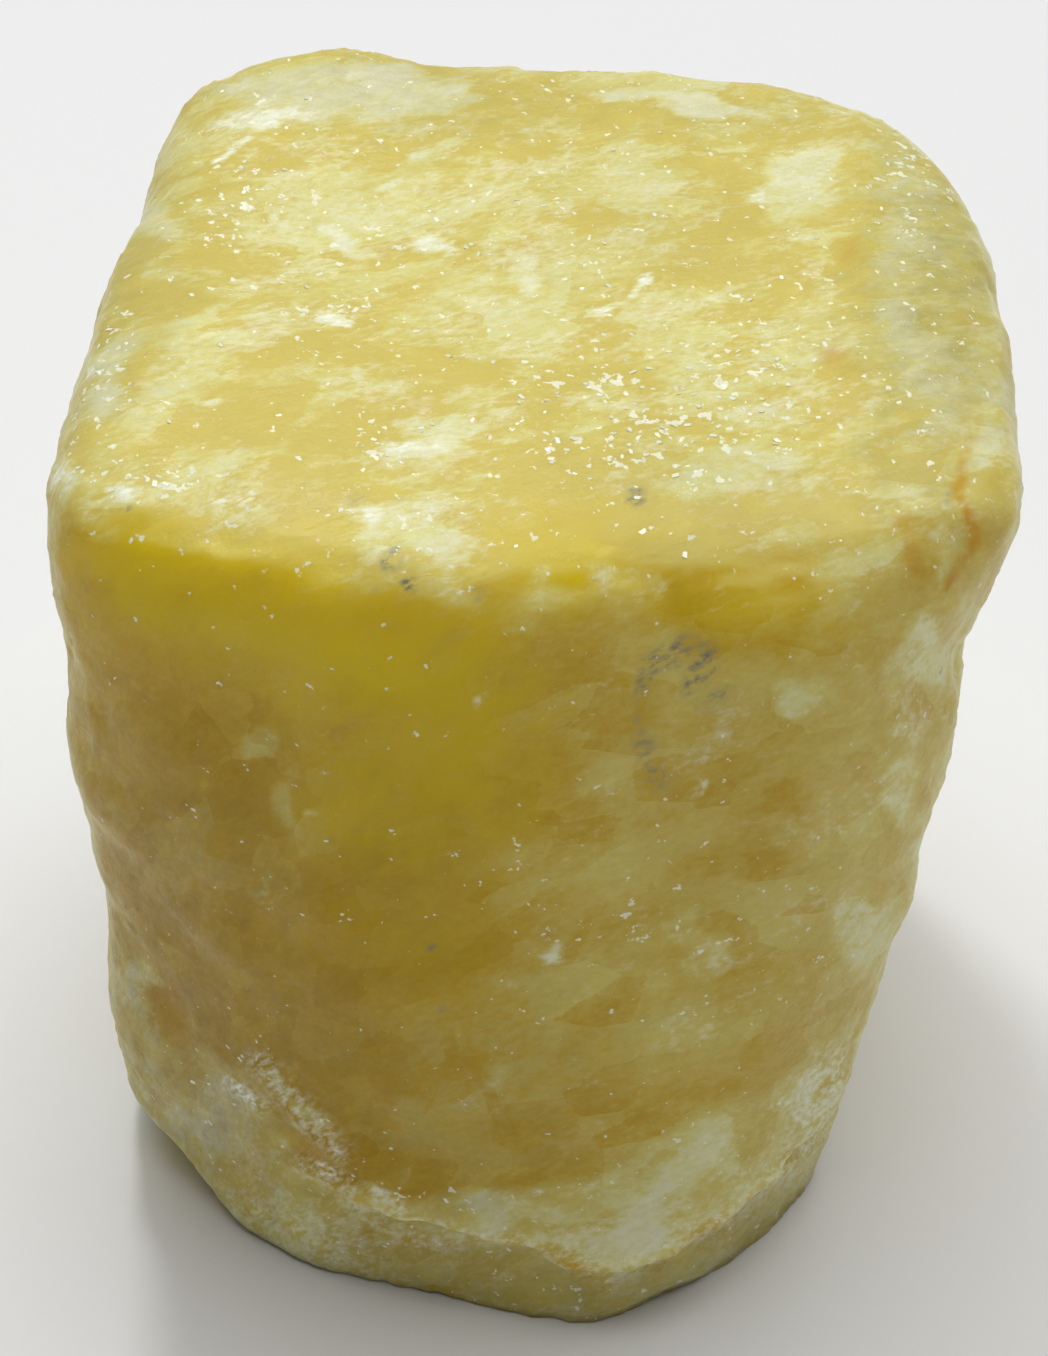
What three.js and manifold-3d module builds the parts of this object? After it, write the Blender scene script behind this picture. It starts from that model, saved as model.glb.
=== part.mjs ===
// A raw block of orange calcite, as tall as a hand is wide, standing on its broken foot.
// It is one solid with softly worn edges, bounded by the faces that it split along. A thin
// lip overhangs the foot in front, clefts run down its right side and its back, and flat
// breaks and split-off slabs have taken the edges off its back and its foot.
// Millimetres, +Z up. The front, which shows the most, looks towards -Y.
import * as THREE from "three";
import { ImprovedNoise } from "three/addons/math/ImprovedNoise.js";
import { mergeVertices } from "three/addons/utils/BufferGeometryUtils.js";
import Module from "manifold-3d";

// Driving dimensions
const HEIGHT = 96;
const HEART = new THREE.Vector3(0, 0, HEIGHT / 2);
const EDGE_SHARPNESS = 22;
const SURFACE_STEPS = 18;
const LEAST_DETAIL = 0.03;
const SWELL = { height: 1.2, wavelength: 24 };
const RIPPLE = { height: 0.6, wavelength: 9 };

// The faces of the block. Each looks along its azimuth and elevation in degrees, where
// azimuth 0 is the right-hand side, 90 the back, 180 the left and -90 the front, and lies
// its reach in millimetres from the heart.
const FACES = {
  top: { azimuth: -25, elevation: 85.5, reach: 46.8 },
  topBackSlope: { azimuth: 122, elevation: 48, reach: 76 },
  topLeftSlope: { azimuth: 170, elevation: 38, reach: 58.2 },
  topRightSlope: { azimuth: 6, elevation: 40, reach: 60 },
  topRightBackSlope: { azimuth: 50, elevation: 36, reach: 69.5 },
  topFrontSlope: { azimuth: -76, elevation: 38, reach: 54 },
  frontLeft: { azimuth: -106, elevation: -6, reach: 38.3 },
  frontMiddle: { azimuth: -91, elevation: -1.5, reach: 38.2 },
  frontRight: { azimuth: -76, elevation: -1, reach: 38.6 },
  leftCorner: { azimuth: -133, elevation: -7, reach: 42.2 },
  left: { azimuth: 175.5, elevation: 2, reach: 38.6 },
  right: { azimuth: -1, elevation: -8, reach: 36.1 },
  rightCorner: { azimuth: -45, elevation: -7, reach: 39.6 },
  back: { azimuth: 91, elevation: 2, reach: 38.5 },
  backLeft: { azimuth: 138, elevation: 4, reach: 55 },
  backRight: { azimuth: 42, elevation: 3, reach: 51 },
  underLeft: { azimuth: 178, elevation: -42, reach: 63 },
  underRight: { azimuth: -5, elevation: -42, reach: 58 },
  underBack: { azimuth: 95, elevation: -40, reach: 54 },
  foot: { azimuth: 0, elevation: -90, reach: 58 },
};

// Bosses and hollows that are wider than the ripples. A hollow has a negative height.
const LUMPS = {
  bossOverFront: { at: [-8, -37, 90], radius: 10, height: 1.5 },
  hollowInTop: { at: [-18, 2, 95], radius: 13, height: -1.2 },
  swellingOfTop: { at: [10, 8, 95], radius: 17, height: 1 },
  lobeBehindClefts: { at: [39, -8, 82], radius: 9, height: 0.6 },
  hollowUnderClefts: { at: [36, -25, 76], radius: 9, height: -2 },
  hollowInRight: { at: [39, -14, 70], radius: 7, height: -1.2 },
  bossOnLeft: { at: [-39, -22, 62], radius: 6, height: 0.8 },
  lowBossOnLeft: { at: [-38, -17, 22], radius: 8, height: 0.8 },
  bossOnBackRim: { at: [-20, 31, 94], radius: 15, height: 1.7 },
  bossOnBackLeft: { at: [-29, 34, 94], radius: 7, height: 0.6 },
  bossOnBackCorner: { at: [33, 27, 90], radius: 9, height: 0.9 },
  hollowInBack: { at: [6, 38, 52], radius: 16, height: -2.5 },
  swellingOfBack: { at: [-20, 38, 34], radius: 14, height: 2 },
};

// The foot steps back under a lip on the side that the azimuth names. The step runs out to
// both sides, where a step under zero leaves the block as it is. The lip is lowest at its
// nose, a place in x and z, and climbs to both sides by these angles.
const LIP = { nose: [8, 9], leftClimb: 14, rightClimb: 17 };
const FOOT_STEP = { azimuth: -74, underLip: 4, elsewhere: -1 };
const NO_STEP = { azimuth: 0, underLip: 0, elsewhere: 0 };

// Narrow clefts, each a long wedge about its own middle.
const CLEFTS = [
  { at: [36.8, -22, 86.5], halfLength: 8.5, halfWidth: 1.1, depth: 2.8, turn: -42 },
  { at: [32.5, -27.6, 85.5], halfLength: 6, halfWidth: 0.9, depth: 2.2, turn: -58 },
  { at: [16, 41, 44], halfLength: 13, halfWidth: 1.2, depth: 4, turn: 95 },
];

// Flat breaks that take the worn edge off where two or three faces meet, written as the
// faces are. They are the freshest scars, so their own edges stay crisp.
const BREAKS = [
  { azimuth: 120, elevation: -25, reach: 54.5 },
  { azimuth: 150, elevation: 10, reach: 49.8 },
  { azimuth: 25, elevation: -15, reach: 48.2 },
  { azimuth: 160, elevation: -35, reach: 56.5 },
  { azimuth: 66, elevation: -8, reach: 48 },
  { azimuth: 112, elevation: 16, reach: 51.5 },
  { azimuth: 45, elevation: -32, reach: 56.5 },
  { azimuth: -160, elevation: -20, reach: 52 },
  { azimuth: -150, elevation: -30, reach: 54.6 },
  { azimuth: -60, elevation: -32, reach: 54.4 },
];

// Calcite splits along three slanting planes. Each slab that has split off the back leaves
// a shallow ledge that runs aslant. A slab is a rhomb given by its middle and its side.
const CLEAVAGE = { lean: 13, tip: 33, turn: 4 };
const SLABS = [
  { at: [36, 67.4, 42], side: 56 },
  { at: [-34, 61.8, 14], side: 46 },
];

const noise = new ImprovedNoise();

// The unit vector that looks along an azimuth and elevation.
function direction({ azimuth, elevation }) {
  const turn = THREE.MathUtils.degToRad(azimuth);
  const rise = THREE.MathUtils.degToRad(elevation);
  return new THREE.Vector3(
    Math.cos(rise) * Math.cos(turn),
    Math.cos(rise) * Math.sin(turn),
    Math.sin(rise),
  );
}

// Every face with its outward direction, worked out once.
const facing = Object.values(FACES).map((face) => ({
  outward: direction(face),
  reach: face.reach,
}));

// How far the block reaches from its heart along a unit vector, with its edges rounded.
function reachAlong(ray) {
  const crowding = facing.reduce((sum, { outward, reach }) => {
    const share = Math.max(0, ray.dot(outward)) / reach;
    return sum + share ** EDGE_SHARPNESS;
  }, 0);
  return crowding ** (-1 / EDGE_SHARPNESS);
}

// The slow swells and short ripples that an unworked surface keeps.
function waviness(point) {
  return [SWELL, RIPPLE].reduce((sum, { height, wavelength }) => {
    const { x, y, z } = point.clone().divideScalar(wavelength);
    return sum + height * noise.noise(x, y, z);
  }, 0);
}

// How far the lumps push the surface out at a point.
function lumpiness(point) {
  return Object.values(LUMPS).reduce((sum, { at, radius, height }) => {
    const gap = point.distanceTo(new THREE.Vector3(...at)) / radius;
    return sum + height * Math.exp(-gap * gap);
  }, 0);
}

// The block before anything is broken off it. A step draws its surface in.
function roughBlock(step) {
  const block = new THREE.IcosahedronGeometry(1, SURFACE_STEPS);
  const place = block.getAttribute("position");
  const steppedSide = direction({ azimuth: step.azimuth, elevation: 0 });
  const ray = new THREE.Vector3();
  for (let i = 0; i < place.count; i += 1) {
    ray.fromBufferAttribute(place, i).normalize();
    const point = ray.clone().multiplyScalar(reachAlong(ray)).add(HEART);
    const share = Math.max(0, ray.dot(steppedSide)) ** 3;
    const drawnIn = THREE.MathUtils.lerp(step.elsewhere, step.underLip, share);
    point.addScaledVector(ray, waviness(point) + lumpiness(point) - drawnIn);
    place.setXYZ(i, point.x, point.y, point.z);
  }
  return block;
}

// A box so big that one face of it passes for an endless plane, lying under z = 0.
function halfSpace() {
  const size = 4 * HEIGHT;
  return new THREE.BoxGeometry(size, size, size).translate(0, 0, -size / 2);
}

// Everything below one of the two planes that meet at the nose of the lip.
function underLip(climb) {
  const [x, z] = LIP.nose;
  return halfSpace().rotateY(THREE.MathUtils.degToRad(climb)).translate(x, 0, z);
}

// A long wedge with its length upright and its depth along +X before it is turned.
function cleft({ at, halfLength, halfWidth, depth, turn }) {
  return new THREE.OctahedronGeometry(1)
    .scale(depth, halfWidth, halfLength)
    .rotateZ(THREE.MathUtils.degToRad(turn))
    .translate(...at);
}

// Everything beyond a flat break.
function beyondBreak({ azimuth, elevation, reach }) {
  return halfSpace()
    .rotateX(Math.PI)
    .translate(0, 0, reach)
    .rotateY(THREE.MathUtils.degToRad(90 - elevation))
    .rotateZ(THREE.MathUtils.degToRad(azimuth))
    .translate(...HEART);
}

// A slab that has split off, with its faces along the cleavage planes.
function slab({ at, side }) {
  const lean = Math.tan(THREE.MathUtils.degToRad(CLEAVAGE.lean));
  const slant = new THREE.Matrix4().makeShear(lean, lean, 0, lean, 0, 0);
  return new THREE.BoxGeometry(side, side, side)
    .applyMatrix4(slant)
    .rotateY(THREE.MathUtils.degToRad(CLEAVAGE.tip))
    .rotateZ(THREE.MathUtils.degToRad(CLEAVAGE.turn))
    .translate(...at);
}

const wasm = await Module();
wasm.setup();

// A three.js geometry as a manifold-3d solid.
function solidOf(geometry) {
  const bare = geometry.clone();
  bare.deleteAttribute("normal");
  bare.deleteAttribute("uv");
  const merged = mergeVertices(bare, 1e-4);
  return new wasm.Manifold(
    new wasm.Mesh({
      numProp: 3,
      vertProperties: new Float32Array(merged.getAttribute("position").array),
      triVerts: new Uint32Array(merged.getIndex().array),
    }),
  );
}

// A manifold-3d solid as a three.js geometry.
function geometryOf(solid) {
  const { vertProperties, triVerts } = solid.getMesh();
  return new THREE.BufferGeometry()
    .setAttribute("position", new THREE.BufferAttribute(vertProperties, 3))
    .setIndex(new THREE.BufferAttribute(triVerts, 1));
}

// What has broken off around the foot: all that lies under the lip and outside the foot.
function aroundFoot() {
  return solidOf(underLip(LIP.leftClimb))
    .add(solidOf(underLip(-LIP.rightClimb)))
    .subtract(solidOf(roughBlock(FOOT_STEP)));
}

// The block without anything that has broken off it, cut level where it stands.
function brokenBlock() {
  const breakages = [
    ...CLEFTS.map(cleft),
    ...BREAKS.map(beyondBreak),
    ...SLABS.map(slab),
    halfSpace(),
  ];
  const losses = [aroundFoot(), ...breakages.map(solidOf)];
  return losses.reduce((rest, loss) => rest.subtract(loss), solidOf(roughBlock(NO_STEP)));
}

// A solid moved sideways until the origin is under the middle of its bounding box.
function centred(solid) {
  const { min, max } = solid.boundingBox();
  return solid.translate([-(min[0] + max[0]) / 2, -(min[1] + max[1]) / 2, 0]);
}

function calciteBlock() {
  const block = centred(brokenBlock().asOriginal().simplify(LEAST_DETAIL));
  const calcite = new THREE.MeshStandardMaterial({
    color: 0xd6bd62,
    roughness: 0.45,
    metalness: 0,
  });
  const mesh = new THREE.Mesh(geometryOf(block), calcite);
  mesh.name = "calcite_block";
  return mesh;
}

const stone = new THREE.Group();
stone.add(calciteBlock());

export default stone;
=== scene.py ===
import math

import bmesh
import bpy
import numpy as np
from mathutils import Matrix, Vector, noise


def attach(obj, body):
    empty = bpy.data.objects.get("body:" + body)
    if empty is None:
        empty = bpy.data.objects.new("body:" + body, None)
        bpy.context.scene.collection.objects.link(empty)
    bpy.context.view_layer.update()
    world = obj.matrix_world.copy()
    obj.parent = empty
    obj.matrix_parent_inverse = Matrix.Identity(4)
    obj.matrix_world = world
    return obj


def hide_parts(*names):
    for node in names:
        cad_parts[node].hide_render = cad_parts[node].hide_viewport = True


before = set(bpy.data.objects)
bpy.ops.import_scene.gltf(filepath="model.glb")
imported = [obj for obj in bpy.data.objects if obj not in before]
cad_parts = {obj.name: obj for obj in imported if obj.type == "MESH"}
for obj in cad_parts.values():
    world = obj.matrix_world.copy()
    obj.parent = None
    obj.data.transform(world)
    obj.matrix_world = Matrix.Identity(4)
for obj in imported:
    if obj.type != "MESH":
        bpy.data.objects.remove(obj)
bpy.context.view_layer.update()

MM = 0.001

# The camera. It looks down at the block from in front.
PHOTO_WIDTH = 1048
PHOTO_HEIGHT = 1356
CAMERA_ELEVATION = math.radians(40)
CAMERA_DISTANCE_MM = 300
CAMERA_TARGET_MM = (-1.05, 2.9, 48)
FOCAL_PIXELS = 3150
SENSOR_MM = 36
PIXELS_PER_MM = FOCAL_PIXELS / CAMERA_DISTANCE_MM

# The fine surface. Corners of the CAD node that lie closer than the merging distance become
# one, and the voxel keeps the stone under 200,000 triangles.
MERGE_MM = 0.01
VOXEL_MM = 0.7
SMOOTHING_ROUNDS = 9

# Calcite splits in sheets. They give every streak and ledge its slant: where they meet the
# top the streaks rise a little to the right, and on the front they rise more steeply.
SHEET_NORMAL = Vector((-0.34, 0.82, 0.46)).normalized()
SHEET_SQUEEZE = 2.4

# The small cleavage faces that glint share one slant. It is added to the surface normal.
GLINT_FACING = (-0.07, -0.3, 0)

# Relief of the surface: its height and the size of its features, in millimetres, and the
# share of the height that is left where the break is smooth.
DENTS = {"height": 0.34, "size": 9}
LEDGES = {"height": 0.2, "size": 7, "on_smooth": 0.3}
PLATES = {"height": 0.14, "size": 2.8, "on_smooth": 0.1}
GRIT = {"height": 0.06, "size": 1.5, "on_smooth": 0}

# Facets read their tilts from places this many times farther apart than they lie, so that
# neighbours differ.
TILTS_APART = 7

# Noises that shouldn't look alike read places this far apart, in millimetres.
PLATES_APART = 30
GRIT_APART = 70
SLIVERS_APART = 20
PATCHES_APART = 50
WANDER_APART = 90

# Where the break is rough. Each pair runs from not at all to fully, in the part of the
# surface's direction that points up, to the back or aside, or in millimetres under the lip.
ROUGH_UP = (0.25, 0.7)
ROUGH_BEHIND = (-0.1, 0.5)
ROUGH_ASIDE = (0.6, 0.95)
ROUGH_UNDER_LIP_MM = (-4, 4)
ROUGHNESS_OF_SIDES = 0.7
ROUGHNESS_UNDER_LIP = 0.9
LEAST_ROUGHNESS = 0.25

# The lip that overhangs the foot in front: its lowest point in x and z, how steeply it
# climbs to the left and the right, how far it steps out over the foot and within what
# height, how its edge wanders, which way the surface faces there and where in x it starts.
LIP_NOSE_MM = (7.05, 9)
LIP_CLIMB_LEFT = math.tan(math.radians(14))
LIP_CLIMB_RIGHT = math.tan(math.radians(17))
LIP_STEP_MM = 1.3
LIP_EDGE_MM = 0.7
LIP_WANDER = {"height": 1.3, "size": 5}
LIP_FACING = (0.2, 0.7)
LIP_STARTS_MM = (-24, -14)

# Cleavage flakes: slanted slabs that lie in the roughest places. They crowd where the
# glints are likely, and each is turned, tilted, sized and whitened at random.
FLAKES_PER_SQUARE_METRE = 600000
FLAKE_LONGEST_MM = 0.62
FLAKE_SHAPE = (1, 0.6, 0.2)
FLAKE_LEAN = 0.3
FLAKE_TILT = 0.3
FLAKE_SIZES = (0.3, 1.0)
FLAKE_WHITENESS = (0.25, 1.0)
FLAKE_CROWDING = 3.0
FLAKES_ABOVE_FLOOR_MM = 3
PLACE_SEED = 11
WHITENESS_SEED = 3
TURN_SEED = 5
SIZE_SEED = 7

# Slivers stand proud of the surface and grooves run into it. Each follows pixels of the
# photograph and has a half-width and a height in millimetres. Some are frosted.
SLIVERS = {
    "long sliver at the lower left": {
        "path": [(258, 1062), (338, 1152)], "width": 1.1, "height": 0.7, "frost_and_highlight": 0.5,
    },
    "short sliver beside it": {
        "path": [(232, 1084), (262, 1108)], "width": 0.8, "height": 0.5, "frost_and_highlight": 0.6,
    },
    "sliver under them": {
        "path": [(300, 1162), (345, 1186), (404, 1212)], "width": 0.9, "height": 0.5, "frost_and_highlight": 0.4,
    },
    "rim of the lip": {
        "path": [(567, 1250), (610, 1278), (664, 1247), (708, 1226), (764, 1186), (803, 1165)],
        "width": 1.1, "height": 0.5, "frost_and_highlight": 0.4,
    },
    "rim of its left lobe": {
        "path": [(350, 1196), (382, 1227), (430, 1243), (480, 1238)], "width": 1.1, "height": 0.4,
        "frost_and_highlight": 0.3,
    },
    "ridge in the front": {
        "path": [(318, 600), (316, 900)], "width": 2.2, "height": 0.3,
    },
    "strip between the clefts": {
        "path": [(934, 520), (944, 600)], "width": 1.1, "height": 0.4,
    },
    "right cleft": {
        "path": [(964, 440), (966, 500), (960, 560), (938, 608)], "width": 0.9, "height": -0.1,
    },
    "left cleft": {
        "path": [(914, 512), (908, 585)], "width": 0.8, "height": -0.1,
    },
    "notch in the right edge": {
        "path": [(957, 650), (962, 672)], "width": 1.6, "height": -0.8,
    },
    "edge of the step in the top": {
        "path": [(862, 110), (866, 240), (858, 360), (868, 470)], "width": 1.4, "height": 0.35,
    },
}

# How the edges of the slivers wander, as a share of their half-width and in millimetres,
# and how squarely a place has to face the camera to carry them, from not at all to fully.
SLIVER_WANDER = {"share": 0.25, "size": 2}
SLIVERS_SEEN = (0, 0.2)

# Colours, linear, from clear honey to milk. The glow is painted light: the honey brightened
# where light comes through the stone. The grey-olive and the brown shades are painted shade,
# and the frost white also paints the glints.
HONEY = (0.43, 0.265, 0.005)
GOLD = (0.545, 0.37, 0.04)
STRAW = (0.64, 0.545, 0.15)
WHEAT = (0.69, 0.655, 0.27)
CREAM = (0.73, 0.72, 0.43)
MILK = (0.82, 0.83, 0.64)
GLOW = (0.73, 0.555, 0.01)
CLOUD = (0.82, 0.82, 0.62)
FROST_AND_GLINT_WHITE = (0.87, 0.9, 0.76)
STAIN = (0.22, 0.2, 0.14)
RUST = (0.52, 0.28, 0.02)
BROWN_SHADE = (0.24, 0.14, 0.012)
SHADE = (0.33, 0.285, 0.075)

# How milky the stone is where no patch says otherwise, by the way that the surface faces.
# Each pair says where a face starts to count as the top or the front and where it does
# fully, and the front changes from its left to its right level over these x.
MILK_OF_TOP = 0.55
LEAST_MILK_OF_TOP = 0.44
MILK_OF_FRONT_LEFT = 0.17
MILK_OF_FRONT_RIGHT = 0.36
MILK_OF_SIDES = 0.56
MILK_UNDERNEATH = 0.5
TOP_FACING = (0.2, 0.6)
FRONT_FACING = (0.35, 0.75)
LEAST_MILK_FACING = (0.35, 0.8)
FRONT_TURNS_MM = (-12, 20)

# The milkiness of the sides that the photograph doesn't show comes and goes.
HIDDEN_MOTTLING = {"height": 0.4, "size": 26}

# Painted shade: the foot is painted darker under the lip and browner still along the edge
# where it stands, and the rim of the lip is frosted.
UNDER_LIP_SHADE = 0.34
STANDING_EDGE_SHADE = 0.6
STANDING_EDGE_MM = 2.5
LIP_RIM_FROST = 0.45
LIP_RIM_ABOVE_MM = 0.8
LIP_RIM_MM = 0.9
FOOT_FACING = (-0.2, 0.5)
FOOT_UNDER_LIP_MM = (0.3, -0.5)
FOOT_ENDS_MM = (32, 20)

# Rough stone glints a little everywhere, from the first roughness on and fully at the last.
LEAST_GLINT = 0.3
GLINTING_ROUGHNESS = (0.3, 1)

# Noises of the stone, as a noise texture takes them: how many of their features lie in a
# metre, how many finer layers they have and how strong each is beside the one before.
BLOTCHES = {"Scale": 70, "Detail": 3, "Roughness": 0.55}
CLOUDS = {"Scale": 120, "Detail": 4, "Roughness": 0.8}
GLINT_CLUSTERS = {"Scale": 130, "Detail": 2, "Roughness": 0.55}
VEILS = {"Scale": 230, "Detail": 5, "Roughness": 0.66}
SOFT_RELIEF = {"Scale": 420, "Detail": 2, "Roughness": 0.5}
FLECKS = {"Scale": 900, "Detail": 3, "Roughness": 0.6}
GLINTS = {"Scale": 900, "Detail": 2, "Roughness": 0.6}
GRAINS = {"Scale": 1900, "Detail": 1, "Roughness": 0.6}

# How many panes inside the stone, and how many crystals on it, lie in a metre.
PANES = 170
CRYSTALS = 800

# How much each texture adds to the milkiness, and the colour at each level of it.
MILK_OF_BLOTCHES = 0.3
MILK_OF_VEILS = 0.3
MILK_OF_FLECKS = 0.3
MILK_OF_PANES = 0.16
COLOUR_AT = ((0.22, GOLD), (0.48, STRAW), (0.62, WHEAT), (0.76, CREAM))

# Frosted clouds lie over the body. The milkier the stone is, the more of it they cover.
CLOUD_START = -1.05
CLOUD_GAIN = 2.0
CLOUD_CONTRAST = 3.4
CLOUD_FLECKS = 1.6
CLOUD_COVER = 0.6

# How strongly the coloured layers show and how far the veils and the flecks break them up:
# softly for the painted shades and the rust, and crisply for the stains and the frost with
# its painted highlights.
RAGGED = {"base": 0.85, "veil": 2.0}
BROKEN = {"base": 0.45, "veil": 2.0, "fleck": 5.0}

# How far the edges of the panes inside the stone are bent, in metres for each axis.
PANE_BEND = (3 * MM, 3 * MM, 3 * MM)

# Glints gather in clusters: how likely they are on average and how much a cluster adds.
# Each is a spot of the noise that stands above the threshold, which falls where glints are
# likely. A glint is also a painted highlight: its colour is painted whiter by the last amount.
GLINT_AVERAGE = 0.85
GLINT_GATHERING = 4.0
GLINT_THRESHOLD = 0.2
GLINT_LIKELIHOOD = 0.12
GLINT_CRISPNESS = 25.0
PAINTED_GLINT_WHITENESS = 0.75

# The fine relief in the material, and how far the crystals tilt it: everywhere, and what
# frosted clouds and glints add.
RELIEF_DEPTH = 0.35 * MM
RELIEF_STRENGTH = 0.4
GRAIN_RELIEF = 1.0
CRYSTAL_TILT = {"everywhere": 0.03, "frosty": 0.2, "glint": 0.15}

# How dull the surface is, from 0 for a mirror to 1: the clear stone, and what frosted clouds,
# veils and glints add. The flakes and the floor are the same all over. The sheen is how
# strongly a surface mirrors.
DULLNESS = {"clear": 0.34, "frosty": 0.16, "veil": 0.3, "glint": -0.3}
DULLNESS_OF_FLAKES = 0.25
DULLNESS_OF_FLOOR = 0.9
SHEEN = 0.1

# The floor, the lights and where they come from, in metres, and the surroundings: how high
# each grey of them lies, from 0 at the horizon to 1 overhead, and how bright it is.
FLOOR_METRES = 40
FLOOR_COLOUR = (0.8, 0.8, 0.8)
SKY_STRENGTH = 2.3
SKY_SPREAD = math.radians(60)
SKY_FROM = (0.1, 0.15, 1.2)
LAMP_METRES = 0.09
LAMP_WATTS = 1.8
LAMP_FROM = (-0.1, 0.25, 0.85)
LIT_POINT = (0, 0, 0.06)
HORIZON = (0.02, 0.34)
OVERHEAD = (0.3, 0.1)

# The clear stone that light scatters in. Red light goes the farthest.
CALCITE_IOR = 1.6
SCATTER_SHARE = 0.85
SCATTER_REACH = 10 * MM
SCATTER_COLOURS = (1.0, 0.66, 0.2)

# How far the edge of a patch or of a panel wanders in pixels, over how many millimetres,
# and how ragged the edge of a patch is.
EDGE_WANDER_PIXELS = 22
PANEL_WANDER_PIXELS = 6
WANDER_MM = 7
RAGGEDNESS = {"height": 0.35, "size": 4}

# How far a patch fades inwards from its edge for each step that it fades outwards.
FADE_INWARDS = 1.6

# How squarely a place has to face the camera to carry patches, from not at all to fully,
# and how strongly the milk patches show.
PATCHES_SEEN = (-0.05, 0.3)
MILK_PATCH_STRENGTH = 0.85
MILK_PATCH_LEVEL = 0.86
MILK_PATCH_SOFTNESS = 0.45

# Panels are the broken faces of the stone, each with straight edges. A panel is a closed
# outline in pixels with the width of its soft edge, its level and how strongly it shows.
MILK_PANELS = {
    "bevel at the right of the top": {
        "outline": [(862, 92), (905, 100), (1030, 300), (1030, 420), (985, 470), (878, 506),
                    (862, 420), (870, 260)],
        "edge": 9, "level": 0.6, "strength": 0.8,
    },
    "left panel of the front": {
        "outline": [(50, 640), (318, 596), (314, 930), (250, 1010), (110, 960), (60, 800)],
        "edge": 14, "level": 0.2, "strength": 0.55,
    },
    "pale lower right of the front": {
        "outline": [(596, 786), (500, 855), (428, 891), (404, 1000), (404, 1190), (648, 1147),
                    (789, 1096), (870, 960), (910, 780), (800, 660), (690, 680)],
        "edge": 16, "level": 0.42, "strength": 0.6,
    },
    "clear part under the glow": {
        "outline": [(312, 868), (440, 880), (500, 868), (470, 1000), (320, 1004)],
        "edge": 16, "level": 0.06, "strength": 0.6,
    },
    "pale band over the front right": {
        "outline": [(690, 494), (905, 494), (880, 548), (700, 560)],
        "edge": 12, "level": 0.52, "strength": 0.6,
    },
    "golden pane of the front right": {
        "outline": [(662, 562), (800, 550), (822, 600), (788, 656), (682, 660)],
        "edge": 9, "level": 0.12, "strength": 0.7,
    },
    "rind along the lip": {
        "outline": [(404, 1204), (462, 1194), (530, 1187), (600, 1178), (648, 1147), (690, 1124),
                    (732, 1102), (789, 1090), (850, 1090), (803, 1169), (749, 1197),
                    (688, 1237), (637, 1278), (615, 1285), (592, 1275), (567, 1247),
                    (428, 1250), (377, 1224)],
        "edge": 7, "level": 0.64, "strength": 0.8,
    },
    "rind at the lower left": {
        "outline": [(100, 950), (150, 1000), (200, 1050), (262, 1086), (306, 1167), (354, 1194),
                    (404, 1204), (377, 1224), (320, 1290), (200, 1230), (120, 1100)],
        "edge": 14, "level": 0.7, "strength": 0.6,
    },
}

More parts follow.
